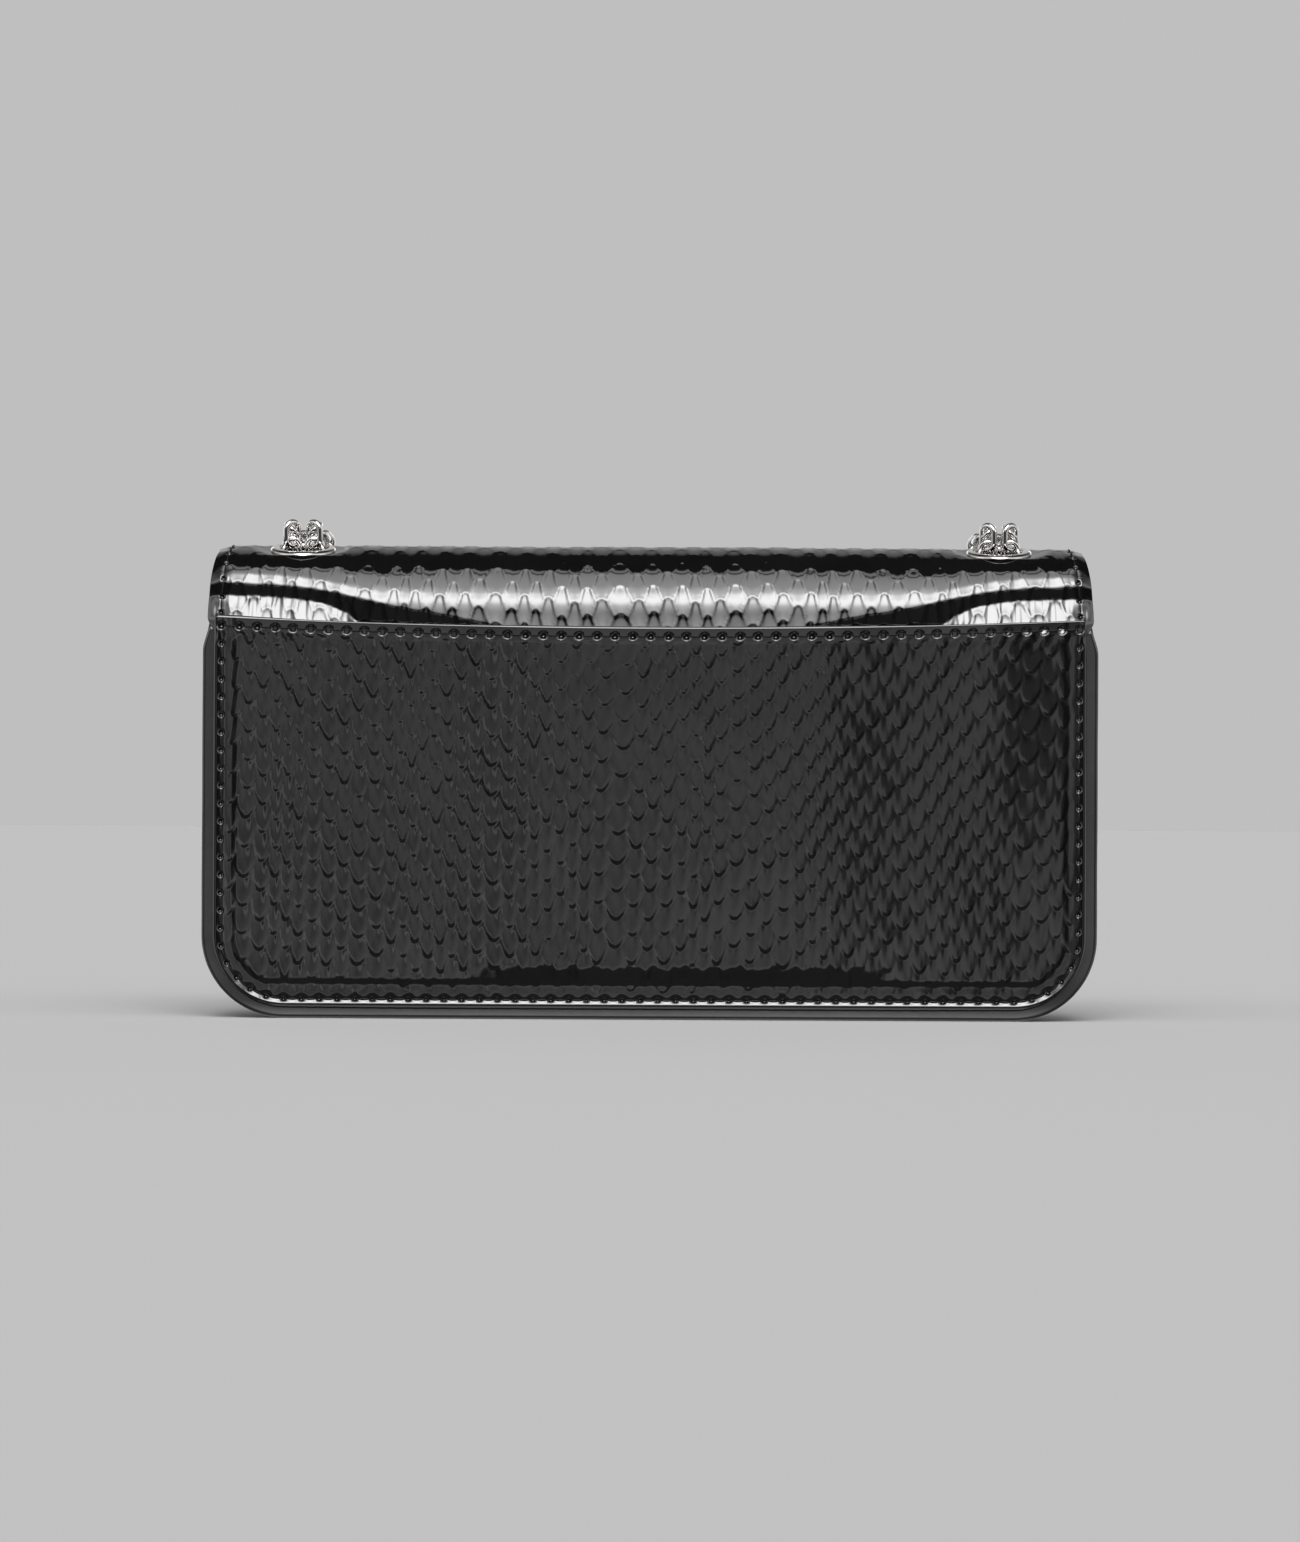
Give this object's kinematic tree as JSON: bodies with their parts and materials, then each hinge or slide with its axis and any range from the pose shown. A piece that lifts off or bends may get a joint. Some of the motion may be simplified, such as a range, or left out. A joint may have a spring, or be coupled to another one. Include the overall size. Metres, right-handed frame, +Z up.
{
  "type": "shoulder bag",
  "caption": "Small flap-over shoulder bag in glossy embossed leather with a back slip pocket, a magnetic snap and a doubled chain strap through eyelets.",
  "frame": {"origin": "middle of the flat base, under the middle of the body", "axes": "+Z up from the base to the flap's crest, +X across the bag's width, +Y towards its back, where the slip pocket is; the flap closes towards -Y"},
  "size_m": [0.22, 0.0431, 0.1229],
  "materials": {
    "embossed_patent_leather": "high gloss patent",
    "smooth_patent_leather": "high gloss patent",
    "flap_lining_leather": "satin",
    "lining_cloth": "matte",
    "fibreboard": "matte bonded leather board",
    "snap_metal": "satin",
    "silver_metal": "polished"
  },
  "bodies": {
    "bag": {"back_panel": "embossed_patent_leather", "pocket_panel": "embossed_patent_leather", "front_panel": "embossed_patent_leather", "gusset": "smooth_patent_leather", "back_board": "fibreboard", "front_board": "fibreboard", "base_board": "fibreboard", "lining_back": "lining_cloth", "lining_front": "lining_cloth", "lining_gusset": "lining_cloth", "inner_pocket": "lining_cloth", "snap_socket": "snap_metal", "snap_backing": "snap_metal"},
    "flap": {"flap_leather": "embossed_patent_leather", "flap_board": "fibreboard", "flap_lining": "flap_lining_leather", "snap_stud": "snap_metal", "eyelet_left": "silver_metal", "eyelet_right": "silver_metal", "eyelet_washer_left": "silver_metal", "eyelet_washer_right": "silver_metal", "chain_lead_left": "silver_metal", "chain_lead_right": "silver_metal", "stop_bar_left": "silver_metal", "stop_bar_right": "silver_metal"},
    "strap_inner": {"strap_inner_run": "silver_metal"},
    "strap_outer": {"strap_outer_run": "silver_metal"}
  },
  "joints": [
    {"name": "flap_open", "type": "hinge", "parent": "bag", "child": "flap", "pos_m": [0, 0.0155, 0.1013], "axis": [-1, 0, 0], "range_deg": [0, 155]},
    {"name": "strap_inner_swing", "type": "hinge", "parent": "flap", "child": "strap_inner", "pos_m": [0, 0.00187, 0.12035], "axis": [-1, 0, 0], "range_deg": [0, 165]},
    {"name": "strap_outer_swing", "type": "hinge", "parent": "flap", "child": "strap_outer", "pos_m": [0, 0.00187, 0.12035], "axis": [-1, 0, 0], "range_deg": [0, 165]}
  ]
}
